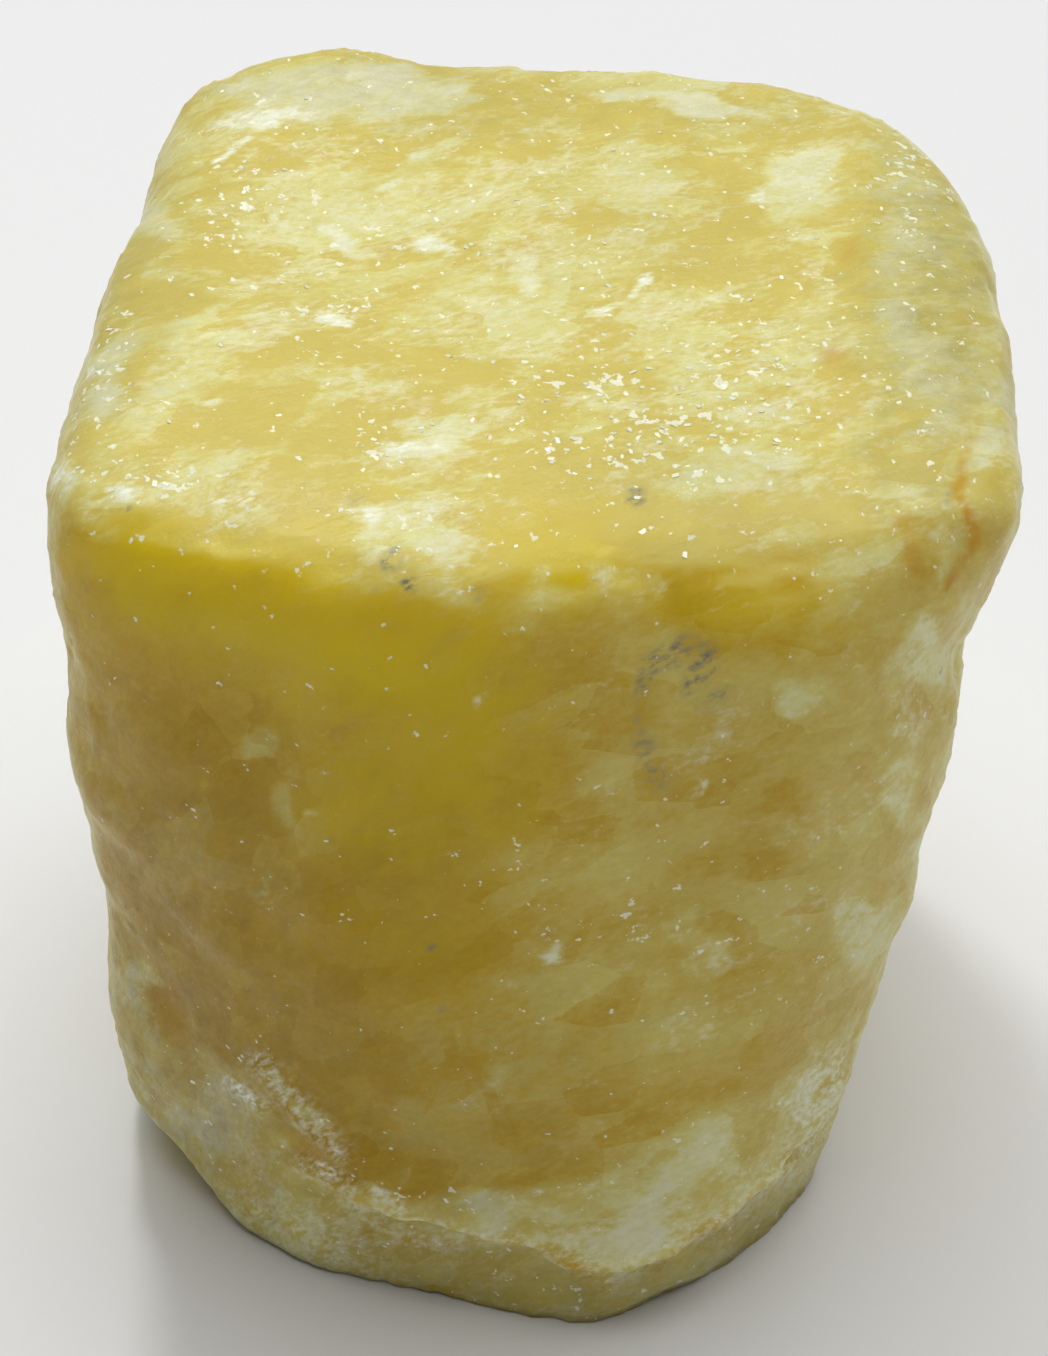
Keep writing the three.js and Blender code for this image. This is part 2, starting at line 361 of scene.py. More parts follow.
# Patches of the surface. Each is an ellipse in the photograph: its middle, its half-width
# and half-height in pixels, how far it is turned anticlockwise in degrees, and its level.
MILK_PATCHES = [
    # back rim and top left
    (330, 92, 160, 42, -4, 0.91),
    (262, 118, 56, 17, 8, 1.0),
    (390, 84, 80, 16, -3, 0.99),
    (700, 96, 130, 13, -4, 0.93),
    (282, 128, 17, 8, 15, 0.53),
    (250, 170, 52, 14, 14, 0.6),
    (150, 230, 40, 60, 62, 0.86),
    (225, 157, 28, 6, 25, 0.96),
    (165, 295, 34, 19, 14, 0.45),
    (142, 258, 14, 13, 0, 0.53),
    (110, 365, 34, 62, -28, 0.84),
    (108, 462, 40, 34, -20, 0.57),
    (66, 485, 14, 30, 0, 0.89),
    (116, 500, 22, 11, 0, 0.96),
    # middle of the top
    (740, 124, 120, 20, 0, 0.61),
    (703, 169, 44, 12, 8, 0.51),
    (575, 216, 28, 9, 5, 0.5),
    (470, 135, 80, 22, 3, 0.63),
    (416, 146, 14, 7, 0, 0.96),
    (385, 182, 13, 10, 20, 0.96),
    (278, 230, 18, 11, -20, 0.93),
    (350, 245, 36, 15, -5, 0.89),
    (425, 243, 32, 9, -5, 0.96),
    (330, 311, 20, 12, 5, 1.0),
    (525, 262, 26, 28, 20, 0.81),
    (640, 285, 12, 26, -40, 0.96),
    (605, 318, 17, 12, 30, 0.94),
    (738, 265, 60, 34, 0, 0.51),
    (795, 190, 78, 46, 25, 0.78),
    (805, 165, 30, 24, 20, 0.86),
    (755, 196, 14, 9, 20, 1.0),
    (845, 262, 19, 18, 0, 0.44),
    (842, 390, 20, 26, 0, 0.5),
    (280, 345, 44, 13, 5, 0.42),
    (415, 366, 88, 22, -5, 0.44),
    (228, 424, 62, 28, 14, 0.42),
    (315, 455, 46, 24, 35, 0.47),
    (196, 410, 17, 5, 0, 0.93),
    (545, 465, 52, 30, 0, 0.5),
    (600, 400, 60, 30, -10, 0.64),
    (730, 476, 128, 24, 4, 0.74),
    (760, 420, 70, 30, 0, 0.68),
    # the pale bloom on the near edge
    (430, 440, 66, 38, 14, 0.82),
    (400, 520, 86, 54, 0, 0.78),
    (460, 560, 40, 30, -20, 0.78),
    (402, 437, 20, 6, -3, 1.0),
    (367, 516, 9, 6, 0, 1.0),
    # right-hand bevel and side
    (925, 310, 62, 205, 8, 0.86),
    (935, 272, 38, 26, 0, 0.64),
    (947, 338, 13, 32, 24, 0.6),
    (912, 446, 19, 12, 0, 0.68),
    (990, 420, 22, 80, 0, 0.78),
    (935, 560, 12, 46, 0, 0.8),
    (924, 655, 36, 38, 0, 0.72),
    (914, 690, 16, 22, 0, 0.53),
    (915, 800, 30, 110, 10, 0.68),
    # front left
    (165, 568, 96, 46, -4, 0.12),
    (280, 560, 60, 50, 0, 0.14),
    (140, 660, 40, 26, 0, 0.12),
    (262, 734, 30, 22, 0, 0.56),
    (290, 807, 17, 48, 4, 0.62),
    (252, 884, 4, 14, -20, 0.85),
    (320, 806, 8, 9, 0, 0.75),
    (190, 850, 70, 120, 0, 0.3),
    # the glow
    (414, 660, 62, 58, -12, 0.0),
    (364, 680, 42, 36, 0, 0.0),
    (395, 810, 46, 62, 0, 0.02),
    (407, 830, 32, 26, 0, 0.0),
    (401, 795, 10, 6, 20, 0.4),
    (470, 760, 90, 60, 20, 0.1),
    (420, 940, 105, 70, 5, 0.12),
    (500, 590, 26, 34, 0, 0.08),
    (481, 704, 5, 8, 0, 0.95),
    # front right
    (590, 532, 90, 30, 5, 0.14),
    (680, 536, 80, 26, 0, 0.26),
    (572, 588, 21, 16, 0, 0.0),
    (740, 606, 80, 54, 0, 0.38),
    (800, 526, 104, 30, 0, 0.56),
    (814, 690, 42, 38, 0, 0.66),
    (790, 690, 18, 28, 0, 0.8),
    (548, 798, 50, 44, 30, 0.1),
    (604, 868, 34, 16, 10, 0.22),
    (686, 782, 7, 6, 30, 0.9),
    (778, 798, 28, 12, 0, 0.28),
    (776, 860, 36, 24, 5, 0.26),
    (858, 762, 14, 18, -20, 0.3),
    (640, 860, 130, 60, 22, 0.44),
    (700, 948, 40, 28, 15, 0.66),
    (552, 950, 14, 24, 0, 0.84),
    (700, 1040, 150, 60, 22, 0.46),
    (866, 930, 46, 70, 15, 0.66),
    # foot of the front
    (134, 996, 18, 42, 0, 0.78),
    (171, 1016, 20, 44, 0, 0.2),
    (212, 1118, 70, 52, -30, 0.76),
    (190, 1120, 38, 10, -22, 0.92),
    (298, 1108, 56, 10, -45, 0.86),
    (296, 1142, 40, 16, -34, 0.28),
    (248, 1096, 15, 9, -35, 0.95),
    (410, 1112, 36, 22, 10, 0.5),
    (498, 1079, 14, 9, -25, 0.7),
    (430, 1030, 90, 50, 0, 0.2),
    (450, 1150, 90, 34, 0, 0.3),
    (292, 1218, 70, 36, -28, 0.7),
    (379, 1206, 26, 9, -22, 0.95),
    (500, 1218, 110, 28, 3, 0.76),
    (700, 1170, 100, 40, 32, 0.76),
    (640, 1240, 60, 34, 20, 0.84),
    (750, 1146, 18, 20, 0, 0.5),
    (815, 1096, 30, 60, -10, 0.8),
]
# Painted glow: the front under its top edge is brightened where light comes through the stone.
GLOW_PATCHES = [
    (165, 560, 110, 44, -4, 1.0),
    (300, 570, 80, 46, 0, 0.8),
    (400, 660, 120, 70, -12, 1.0),
    (395, 810, 90, 76, 0, 0.75),
    (450, 740, 100, 110, 20, 0.6),
    (560, 560, 110, 60, 0, 0.8),
    (572, 588, 26, 20, 0, 1.0),
    (740, 606, 110, 54, 0, 0.45),
    (420, 930, 100, 70, 5, 0.35),
    (250, 620, 160, 60, -10, 0.8),
]
# Frosted patches, and painted highlights: the bright line along the top's front edge at the left
# and two glinting spots on the near edge.
FROST_AND_HIGHLIGHT_PATCHES = [
    (262, 118, 50, 12, 10, 0.7),
    (225, 157, 26, 4, 25, 0.8),
    (330, 311, 18, 9, 5, 1.0),
    (402, 437, 19, 5, -3, 1.0),
    (367, 516, 8, 5, 0, 1.0),
    (116, 500, 20, 8, 0, 0.8),
    (62, 490, 8, 20, -20, 0.8),
    (218, 500, 8, 8, 30, 0.8),
    (247, 496, 11, 8, 0, 0.6),
    (640, 285, 8, 22, -40, 0.8),
    (605, 318, 13, 8, 30, 0.7),
    (755, 196, 12, 8, 20, 0.8),
    (481, 704, 4, 7, 0, 1.0),
    (686, 782, 6, 5, 30, 0.8),
    (248, 1096, 13, 7, -35, 0.8),
    (314, 1172, 10, 5, -20, 0.8),
    (379, 1206, 24, 6, -22, 0.7),
    (538, 1190, 6, 4, 0, 0.8),
    (822, 1110, 36, 64, -10, 0.55),
    (300, 1250, 110, 40, -28, 0.2),
    (552, 950, 9, 18, 0, 0.4),
    (425, 243, 26, 6, -5, 0.5),
]
RUST_PATCHES = [
    (845, 262, 17, 15, 0, 0.35),
    (842, 355, 20, 12, 0, 0.6),
    (963, 500, 7, 66, -4, 0.9),
    (948, 590, 6, 24, -30, 0.9),
    (910, 550, 8, 36, 4, 0.6),
    (165, 660, 70, 40, 0, 0.2),
    (171, 1020, 20, 40, 0, 0.25),
    (300, 1146, 36, 10, -34, 0.35),
    (790, 560, 40, 26, 0, 0.15),
    (760, 1100, 22, 18, 0, 0.15),
]
STAIN_PATCHES = [
    (396, 562, 13, 16, -20, 0.95),
    (412, 589, 14, 9, 20, 0.95),
    (377, 587, 5, 4, 0, 0.8),
    (388, 497, 6, 5, 0, 0.5),
    (350, 492, 9, 9, 0, 0.4),
    (625, 492, 12, 8, 30, 0.7),
    (668, 662, 34, 10, 5, 0.7),
    (648, 700, 12, 38, -4, 0.7),
    (700, 680, 10, 18, 30, 0.7),
    (656, 762, 18, 24, 0, 0.65),
    (722, 692, 7, 12, -20, 0.6),
    (727, 737, 5, 3, 0, 0.7),
    (131, 518, 4, 4, 0, 0.9),
    (427, 950, 6, 3, 10, 0.8),
    (432, 1000, 5, 3, -30, 0.8),
    (262, 1002, 18, 3, -35, 0.7),
    (933, 658, 3, 4, 0, 0.9),
    (948, 497, 4, 14, -10, 0.5),
    (490, 600, 8, 26, 0, 0.25),
    (806, 762, 4, 4, 0, 0.6),
]
GLINT_PATCHES = [
    (630, 420, 150, 80, -8, 1.0),
    (760, 380, 90, 90, 0, 0.9),
    (100, 380, 50, 90, -25, 0.9),
    (150, 490, 120, 26, 0, 0.9),
    (920, 180, 50, 80, 0, 0.8),
    (900, 350, 40, 80, 0, 0.6),
    (260, 210, 120, 60, 20, 0.7),
    (400, 440, 60, 20, 0, 0.8),
    (330, 300, 120, 60, 0, 0.55),
    (560, 250, 200, 120, 0, 0.5),
    (380, 1190, 160, 20, -10, 0.5),
    (720, 960, 150, 130, 20, 0.3),
    (640, 1190, 180, 60, 25, 0.36),
    (210, 1110, 110, 100, -40, 0.32),
    (560, 880, 60, 100, 0, 0.22),
]
# Painted shade, a dark brown: the lower front, the lower left and a band under the top edge of the
# front right.
BROWN_SHADE_PATCHES = [
    (170, 900, 150, 210, 0, 0.5),
    (400, 1060, 190, 150, 0, 0.52),
    (650, 530, 170, 34, 0, 0.1),
    (470, 1000, 120, 130, 0, 0.15),
    (760, 900, 120, 260, 20, 0.12),
    (180, 1090, 120, 110, -30, 0.55),
    (400, 850, 90, 110, 0, 0.35),
]
# Painted shade on the bevels and the back rim, which slope away from the light, and on two parts of
# the top.
SHADE_PATCHES = [
    (940, 300, 90, 230, 0, 0.64),
    (690, 210, 150, 80, 0, 0.14),
    (720, 480, 150, 30, 0, 0.2),
    (100, 330, 70, 210, -25, 0.4),
    (400, 82, 270, 46, -3, 0.38),
    (730, 100, 190, 34, -4, 0.22),
]


def basis_of_camera():
    """The camera's place in millimetres and its right, up and forward directions."""
    rise, run = math.sin(CAMERA_ELEVATION), math.cos(CAMERA_ELEVATION)
    right = Vector((1, 0, 0))
    up = Vector((0, rise, run))
    forward = Vector((0, run, -rise))
    place = Vector(CAMERA_TARGET_MM) - forward * CAMERA_DISTANCE_MM
    return place, right, up, forward


def add_camera():
    place, right, up, forward = basis_of_camera()
    data = bpy.data.cameras.new("camera")
    data.sensor_width = SENSOR_MM
    data.lens = FOCAL_PIXELS * SENSOR_MM / PHOTO_HEIGHT
    data.clip_start = 0.01
    camera = bpy.data.objects.new("camera", data)
    axes = Matrix((right, up, -forward)).transposed()
    camera.matrix_world = Matrix.Translation(place * MM) @ axes.to_4x4()
    bpy.context.scene.collection.objects.link(camera)
    bpy.context.scene.camera = camera


def pixels_of(points):
    """Where points, in millimetres, lie in the photograph."""
    place, right, up, forward = (np.array(v) for v in basis_of_camera())
    away = points - place
    depth = away @ forward
    across = PHOTO_WIDTH / 2 + FOCAL_PIXELS * (away @ right) / depth
    down = PHOTO_HEIGHT / 2 - FOCAL_PIXELS * (away @ up) / depth
    return np.stack([across, down], axis=1)


def facing_camera(points, normals):
    """How squarely each point faces the camera, from 1 down to -1."""
    towards = np.array(basis_of_camera()[0]) - points
    towards /= np.linalg.norm(towards, axis=1, keepdims=True)
    return np.sum(normals * towards, axis=1)


def smooth_step(value, low, high):
    t = np.clip((value - low) / (high - low), 0, 1)
    return t * t * (3 - 2 * t)


def soft_noise(points, size, octaves=1):
    """Smooth noise from about -1 to 1, with features of that size in millimetres."""
    total = np.zeros(len(points))
    weight = 1.0
    for _ in range(octaves):
        total += weight * np.array([noise.noise(p) for p in points / size])
        weight /= 2
        size /= 2
    return total


def facets(points, size):
    """Heights of small flat faces that tilt at random, as broken cleavage leaves them."""
    heights = np.empty(len(points))
    for i, point in enumerate(points / size):
        centre = noise.voronoi(point)[1][0]
        tilt = noise.cell_vector(centre * TILTS_APART)
        heights[i] = (Vector(point) - centre).dot(tilt)
    return heights


def across_sheets(points):
    """The points stretched across the sheets, so that noise on them is drawn out in them."""
    normal = np.array(SHEET_NORMAL)
    return points + np.outer(points @ normal, normal) * (SHEET_SQUEEZE - 1)


def nearest_on_path(here, path):
    """How far pixels lie from a line through the path's points."""
    best = np.full(len(here), np.inf)
    for start, end in zip(path, path[1:]):
        a = np.array(start, float)
        d = np.array(end, float) - a
        t = np.clip(((here - a) @ d) / (d @ d), 0, 1)
        best = np.minimum(best, np.linalg.norm(here - a - t[:, None] * d, axis=1))
    return best


def sliver_shares(points):
    """How much of each sliver's or groove's height every point carries."""
    here = pixels_of(points)
    wander = soft_noise(points + SLIVERS_APART, SLIVER_WANDER["size"])
    for form in SLIVERS.values():
        away = nearest_on_path(here, form["path"]) / PIXELS_PER_MM / form["width"]
        yield form, np.exp(-(away + SLIVER_WANDER["share"] * wander) ** 2)


def depth_inside(here, outline):
    """How many pixels deep each place lies inside a closed outline. Outside is negative."""
    closed = outline + outline[:1]
    inside = np.zeros(len(here), bool)
    for (x0, y0), (x1, y1) in zip(closed, closed[1:]):
        if y0 == y1:
            continue
        crosses = (here[:, 1] < y0) != (here[:, 1] < y1)
        edge = x0 + (here[:, 1] - y0) * (x1 - x0) / (y1 - y0)
        inside ^= crosses & (here[:, 0] < edge)
    away = nearest_on_path(here, closed)
    return np.where(inside, away, -away)


def wandered(points, reach):
    """Where the points lie in the photograph, strayed by up to about that many pixels."""
    here = pixels_of(points)
    for axis in (0, 1):
        elsewhere = points + WANDER_APART * (axis + 1)
        here[:, axis] += reach * soft_noise(elsewhere, WANDER_MM, octaves=3)
    return here


def raggedness(points):
    """How much farther than it is each point counts from the middle of a patch."""
    drawn = across_sheets(points) + PATCHES_APART
    return RAGGEDNESS["height"] * soft_noise(drawn, RAGGEDNESS["size"], octaves=3)


def painted(here, ragged, patches, softness):
    """A level for each vertex seen from the front, and how surely a patch gives it."""
    level = np.zeros(len(here))
    cover = np.zeros(len(here))
    for x, y, half_width, half_height, turn, value in patches:
        c, s = math.cos(math.radians(turn)), math.sin(math.radians(turn))
        dx = here[:, 0] - x
        dy = y - here[:, 1]
        along = (dx * c + dy * s) / half_width
        across = (dy * c - dx * s) / half_height
        distance = np.hypot(along, across) + ragged
        share = 1 - smooth_step(distance, 1 - softness * FADE_INWARDS, 1 + softness)
        level = level * (1 - share) + value * share
        cover = cover * (1 - share) + share
    return level, cover


def coordinates(mesh, kind):
    values = np.empty(len(mesh.vertices) * 3)
    mesh.vertices.foreach_get(kind, values)
    return values.reshape(-1, 3)


def fine_copy(node, name):
    """A copy of a CAD node with its facets smoothed and a fine, even mesh."""
    mesh = node.data.copy()
    work = bmesh.new()
    work.from_mesh(mesh)
    bmesh.ops.remove_doubles(work, verts=work.verts, dist=MERGE_MM * MM)
    work.to_mesh(mesh)
    work.free()
    rough = bpy.data.objects.new(name + "_rough", mesh)
    bpy.context.scene.collection.objects.link(rough)
    remesh = rough.modifiers.new("fine mesh", "REMESH")
    remesh.mode = "VOXEL"
    remesh.voxel_size = VOXEL_MM * MM
    smooth = rough.modifiers.new("worn", "SMOOTH")
    smooth.iterations = SMOOTHING_ROUNDS
    seen = rough.evaluated_get(bpy.context.evaluated_depsgraph_get())
    fine = bpy.data.objects.new(name, bpy.data.meshes.new_from_object(seen))
    fine.data.name = name
    fine.data.materials.clear()
    bpy.data.objects.remove(rough)
    bpy.context.scene.collection.objects.link(fine)
    return fine


def roughness_of(points, normals):
    """How rough the break is, from 0 where it is smooth to 1 on the top and the rinds."""
    up = smooth_step(normals[:, 2], *ROUGH_UP)
    behind = smooth_step(normals[:, 1], *ROUGH_BEHIND)
    aside = smooth_step(np.abs(normals[:, 0]), *ROUGH_ASIDE) * ROUGHNESS_OF_SIDES
    under = smooth_step(-lip_height(points), *ROUGH_UNDER_LIP_MM) * ROUGHNESS_UNDER_LIP
    return np.clip(np.maximum.reduce([up, behind, aside, under]), LEAST_ROUGHNESS, 1)


def left_of(form, rough):
    """The share of a form's height that is left, by how rough the break is."""
    return form["on_smooth"] + (1 - form["on_smooth"]) * rough


def lip_height(points):
    """How far each point lies above the edge of the lip."""
    nose_x, nose_z = LIP_NOSE_MM
    left = np.maximum(nose_x - points[:, 0], 0) * LIP_CLIMB_LEFT
    right = np.maximum(points[:, 0] - nose_x, 0) * LIP_CLIMB_RIGHT
    wander = LIP_WANDER["height"] * soft_noise(points, LIP_WANDER["size"], octaves=2)
    return points[:, 2] - nose_z - left - right + wander


def break_surface(stone):
    """Gives the stone the relief of a broken, weathered surface."""
    points = coordinates(stone.data, "co") / MM
    normals = coordinates(stone.data, "normal")
    rough = roughness_of(points, normals)
    drawn = across_sheets(points)
    height = DENTS["height"] * soft_noise(points, DENTS["size"], octaves=2)
    ledges = facets(drawn, LEDGES["size"])
    plates = facets(drawn + PLATES_APART, PLATES["size"])
    grit = soft_noise(points + GRIT_APART, GRIT["size"])
    for form, shape in ((LEDGES, ledges), (PLATES, plates), (GRIT, grit)):
        height += form["height"] * shape * left_of(form, rough)
    in_front = smooth_step(-normals[:, 1], *LIP_FACING) * smooth_step(points[:, 0], *LIP_STARTS_MM)
    step = smooth_step(lip_height(points), -LIP_EDGE_MM, LIP_EDGE_MM) - 0.5
    height += in_front * LIP_STEP_MM * step
    seen = smooth_step(facing_camera(points, normals), *SLIVERS_SEEN)
    for form, share in sliver_shares(points):
        height += form["height"] * seen * share
    points = points + normals * height[:, None]
    points[:, 2] = np.maximum(points[:, 2], 0)
    stone.data.vertices.foreach_set("co", (points * MM).ravel())
    stone.data.update()


def milkiness(points, normals, patch, cover):
    """How milky the stone is at each vertex, from 0, clear honey, to 1, white."""
    top = smooth_step(normals[:, 2], *TOP_FACING)
    front = smooth_step(-normals[:, 1], *FRONT_FACING)
    under = smooth_step(lip_height(points), LIP_EDGE_MM, -LIP_EDGE_MM)
    to_right = smooth_step(points[:, 0], *FRONT_TURNS_MM)
    on_front = MILK_OF_FRONT_LEFT * (1 - to_right) + MILK_OF_FRONT_RIGHT * to_right
    level = MILK_OF_SIDES * (1 - front) + on_front * front
    level = level * (1 - top) + MILK_OF_TOP * top
    level = level * (1 - under) + MILK_UNDERNEATH * under
    hidden = 1 - smooth_step(facing_camera(points, normals), *PATCHES_SEEN)
    mottling = soft_noise(across_sheets(points), HIDDEN_MOTTLING["size"], octaves=3)
    level += hidden * HIDDEN_MOTTLING["height"] * mottling
    here = wandered(points, PANEL_WANDER_PIXELS)
    for panel in MILK_PANELS.values():
        share = smooth_step(depth_inside(here, panel["outline"]), -panel["edge"], panel["edge"])
        share *= panel["strength"] * (1 - hidden)
        level = level * (1 - share) + panel["level"] * share
    cover = cover * MILK_PATCH_STRENGTH * (1 - hidden)
    return level * (1 - cover) + patch * MILK_PATCH_LEVEL * cover


def paint(stone):
    """Stores how milky, frosted, rusty, stained and glinting each vertex is, and its painted light
    and shade.
    """
    points = coordinates(stone.data, "co") / MM
    normals = coordinates(stone.data, "normal")
    seen = smooth_step(facing_camera(points, normals), *PATCHES_SEEN)
    rough = roughness_of(points, normals)
    here = wandered(points, EDGE_WANDER_PIXELS)
    ragged = raggedness(points)
    milky = painted(here, ragged, MILK_PATCHES, MILK_PATCH_SOFTNESS)
    layers = {
        "milk": milkiness(points, normals, *milky),
        "least": LEAST_MILK_OF_TOP * smooth_step(normals[:, 2], *LEAST_MILK_FACING),
    }
    for name, patches, softness in (
        ("glow", GLOW_PATCHES, 0.6),
        ("brown_shade", BROWN_SHADE_PATCHES, 0.6),
        ("shade", SHADE_PATCHES, 0.6),
        ("frost_and_highlight", FROST_AND_HIGHLIGHT_PATCHES, 0.3),
        ("rust", RUST_PATCHES, 0.35),
        ("stain", STAIN_PATCHES, 0.25),
        ("glint", GLINT_PATCHES, 0.5),
    ):
        layers[name] = painted(here, ragged, patches, softness)[0] * seen
    everywhere = LEAST_GLINT * smooth_step(rough, *GLINTING_ROUGHNESS)
    layers["glint"] = np.maximum(layers["glint"], everywhere)
    above = lip_height(points)
    in_front = smooth_step(-normals[:, 1], *FOOT_FACING) * smooth_step(points[:, 0], *LIP_STARTS_MM)
    foot = smooth_step(above, *FOOT_UNDER_LIP_MM) * smooth_step(points[:, 0], *FOOT_ENDS_MM)
    foot = foot * in_front
    rim = np.exp(-((above - LIP_RIM_ABOVE_MM) / LIP_RIM_MM) ** 2) * in_front
    lowest = smooth_step(points[:, 2], STANDING_EDGE_MM, 0)
    # Painted shade: darker under the lip and along the edge where the stone stands.
    for share, reach in ((UNDER_LIP_SHADE, foot), (STANDING_EDGE_SHADE, lowest)):
        layers["brown_shade"] = np.maximum(layers["brown_shade"], share * reach)
    layers["frost_and_highlight"] = np.maximum(layers["frost_and_highlight"], LIP_RIM_FROST * rim)
    for form, share in sliver_shares(points):
        frost_and_highlight = form.get("frost_and_highlight", 0) * seen * share
        layers["frost_and_highlight"] = np.maximum(layers["frost_and_highlight"], frost_and_highlight)
    for name, values in layers.items():
        attribute = stone.data.attributes.new(name, "FLOAT", "POINT")
        attribute.data.foreach_set("value", np.clip(values, 0, 1).astype(np.float32))


def add_node(tree, kind, inputs=None, **settings):
    """A new node. An input is a value, or the socket of another node that feeds it."""
    node = tree.nodes.new(kind)
    for name, value in settings.items():
        setattr(node, name, value)
    for key, value in (inputs or {}).items():
        if isinstance(value, bpy.types.NodeSocket):
            tree.links.new(value, node.inputs[key])
        else:
            node.inputs[key].default_value = value
    return node


def maths(tree, operation, *values, clamp=False):
    """A number worked out from one, two or three others."""
    inputs = dict(enumerate(values))
    return add_node(tree, "ShaderNodeMath", inputs, operation=operation, use_clamp=clamp).outputs[0]


def total(tree, first, *parts, clamp=False):
    """The first number plus each part times its amount."""
    for i, (part, amount) in enumerate(parts):
        last = i == len(parts) - 1
        first = maths(tree, "MULTIPLY_ADD", part, amount, first, clamp=clamp and last)
    return first


def vector_maths(tree, operation, *values):
    inputs = dict(enumerate(values))
    return add_node(tree, "ShaderNodeVectorMath", inputs, operation=operation).outputs[0]


def scaled(tree, vector, amount):
    inputs = {0: vector, "Scale": amount}
    return add_node(tree, "ShaderNodeVectorMath", inputs, operation="SCALE").outputs[0]


def level_of(tree, name):
    return add_node(tree, "ShaderNodeAttribute", attribute_name=name).outputs["Fac"]


def noise_of(tree, coords, form):
    """One of the stone's noises, from about -0.3 to 0.3."""
    texture = add_node(tree, "ShaderNodeTexNoise", {"Vector": coords, **form})
    return maths(tree, "SUBTRACT", texture.outputs["Fac"], 0.5)


def cells_of(tree, coords, scale):
    """Random cells, that many in a metre."""
    return add_node(tree, "ShaderNodeTexVoronoi", {"Vector": coords, "Scale": scale})


def pane_of(tree, coords):
    """A random number from -0.5 to 0.5 for each pane of clearer or milkier stone."""
    cells = cells_of(tree, coords, PANES).outputs["Color"]
    pick = add_node(tree, "ShaderNodeSeparateColor", {0: cells}).outputs[0]
    return maths(tree, "SUBTRACT", pick, 0.5)


def colour_mix(tree, share, first, second):
    inputs = {0: share, 6: first, 7: second}
    return add_node(tree, "ShaderNodeMix", inputs, data_type="RGBA").outputs[2]


def opaque(colour):
    return (*colour, 1)


def stone_coordinates(tree):
    """The object's coordinates, plain and stretched across the sheets."""
    plain = add_node(tree, "ShaderNodeTexCoord").outputs["Object"]
    turn = Vector((1, 0, 0)).rotation_difference(SHEET_NORMAL).to_euler()
    settings = {"Vector": plain, "Rotation": turn, "Scale": (1 / SHEET_SQUEEZE, 1, 1)}
    drawn = add_node(tree, "ShaderNodeMapping", settings, vector_type="TEXTURE").outputs[0]
    return plain, drawn


def body_colour(tree, drawn):
    """The colour under the painted glints: honey to milk, painted glow and shade, rust and stains.
    """
    milk = level_of(tree, "milk")
    veil = noise_of(tree, drawn, VEILS)
    fleck = noise_of(tree, drawn, FLECKS)
    bent = vector_maths(tree, "ADD", drawn, scaled(tree, PANE_BEND, veil))
    level = total(
        tree,
        milk,
        (noise_of(tree, drawn, BLOTCHES), MILK_OF_BLOTCHES),
        (veil, MILK_OF_VEILS),
        (fleck, MILK_OF_FLECKS),
        (pane_of(tree, bent), MILK_OF_PANES),
        clamp=True,
    )
    level = maths(tree, "MAXIMUM", level, level_of(tree, "least"))
    ramp = add_node(tree, "ShaderNodeValToRGB", {"Fac": level})
    stops = ramp.color_ramp.elements
    stops[0].color = opaque(HONEY)
    stops[1].color = opaque(MILK)
    for place, colour in COLOUR_AT:
        stops.new(place).color = opaque(colour)
    clear = maths(tree, "SUBTRACT", 1.0, level)
    lit = maths(tree, "MULTIPLY", level_of(tree, "glow"), clear, clamp=True)
    colour = colour_mix(tree, lit, ramp.outputs["Color"], opaque(GLOW))
    cloud = noise_of(tree, drawn, CLOUDS)
    frosty = total(
        tree,
        CLOUD_START,
        (milk, CLOUD_GAIN),
        (cloud, CLOUD_CONTRAST),
        (fleck, CLOUD_FLECKS),
        clamp=True,
    )
    cover = maths(tree, "MULTIPLY", frosty, CLOUD_COVER)
    colour = colour_mix(tree, cover, colour, opaque(CLOUD))
    ragged = total(tree, RAGGED["base"], (veil, RAGGED["veil"]))
    parts = (veil, BROKEN["veil"]), (fleck, BROKEN["fleck"])
    broken = total(tree, BROKEN["base"], *parts)
    # The shade and the brown shade are painted shade. The rust, the stains and the frost are the
    # stone's own, though the frost also holds painted highlights.
    for name, tint, texture in (
        ("shade", SHADE, ragged),
        ("brown_shade", BROWN_SHADE, ragged),
        ("rust", RUST, ragged),
        ("stain", STAIN, broken),
        ("frost_and_highlight", FROST_AND_GLINT_WHITE, broken),
    ):
        share = maths(tree, "MULTIPLY", level_of(tree, name), texture, clamp=True)
        colour = colour_mix(tree, share, colour, opaque(tint))
    return colour, veil, frosty


def glinting(tree, plain, drawn):
    """Where small cleavage faces catch the light, from 0 to 1, in clusters."""
    cluster = noise_of(tree, drawn, GLINT_CLUSTERS)
    gathered = total(tree, GLINT_AVERAGE, (cluster, GLINT_GATHERING))
    likely = maths(tree, "MULTIPLY", level_of(tree, "glint"), gathered, clamp=True)
    sparkle = noise_of(tree, plain, GLINTS)
    over = total(tree, sparkle, (likely, GLINT_LIKELIHOOD))
    over = maths(tree, "SUBTRACT", over, GLINT_THRESHOLD)
    return maths(tree, "MULTIPLY", over, GLINT_CRISPNESS, clamp=True)


